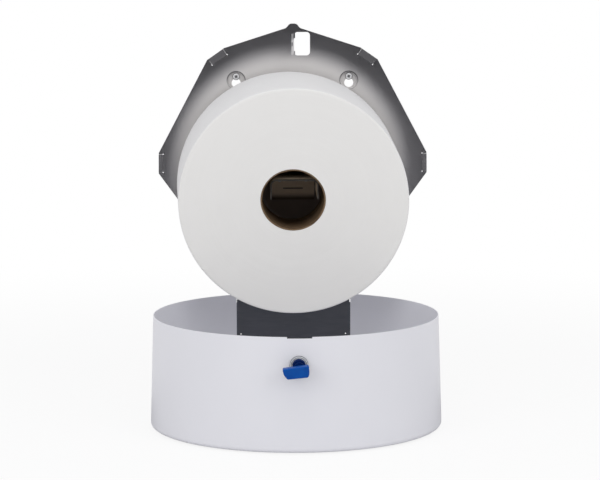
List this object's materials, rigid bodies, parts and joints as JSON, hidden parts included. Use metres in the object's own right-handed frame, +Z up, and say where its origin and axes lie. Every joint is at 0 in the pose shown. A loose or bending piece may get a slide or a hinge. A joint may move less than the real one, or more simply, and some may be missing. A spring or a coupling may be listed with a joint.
{
  "type": "jumbo toilet roll dispenser",
  "caption": "Wall dispenser for one jumbo toilet roll: steel back plate with a channel spindle, and a round drum cover hung open on a bottom hinge, with a cam lock and its key.",
  "frame": {"origin": "on the wall plane, at the centre of the rectangle of the four keyholes, which is the centre of the drum when the cover is closed", "axes": "+Z up, +Y into the wall, +X to the right for someone who faces the dispenser"},
  "size_m": [0.3172, 0.3579, 0.4305],
  "materials": {
    "plate": "satin",
    "cover_paint": "satin",
    "strap_coat": "satin",
    "zinc": "satin",
    "lock_chrome": "polished",
    "key_plastic": "gloss",
    "core_card": "matte",
    "tissue": "matte"
  },
  "bodies": {
    "wall_plate": {"back_plate": "plate", "wall_screws": "zinc", "spindle": "plate", "spindle_rivets": "zinc", "hinge_leaf": "plate", "leaf_rivets": "zinc", "hinge_pin": "zinc"},
    "cover": {"cover_shell": "cover_paint", "exit_strap": "strap_coat", "strap_rivets": "zinc", "lock_housing": "lock_chrome", "lock_washer": "zinc", "lock_nut": "zinc"},
    "lock_rotor": {"lock_plug": "zinc", "lock_cam": "zinc", "cam_washer": "zinc", "cam_screw": "zinc"},
    "lock_key": {"key": "key_plastic"},
    "roll": {"cardboard_core": "core_card", "paper_roll": "tissue"}
  },
  "joints": [
    {"name": "cover_hinge", "type": "hinge", "parent": "wall_plate", "child": "cover", "pos_m": [0, -0.0067, -0.1527], "axis": [1, 0, 0], "range_deg": [-90, 0]},
    {"name": "roll_spin", "type": "hinge", "parent": "wall_plate", "child": "roll", "pos_m": [0, -0.06, -0.0285], "axis": [0, 1, 0], "continuous": true},
    {"name": "lock_turn", "type": "hinge", "parent": "cover", "child": "lock_rotor", "pos_m": [0, -0.3, -0.177], "axis": [0, 1, 0], "range_deg": [0, 90]},
    {"name": "key_pull", "type": "slide", "parent": "lock_rotor", "child": "lock_key", "axis": [0, -1, 0], "range_m": [0, 0.014]}
  ]
}
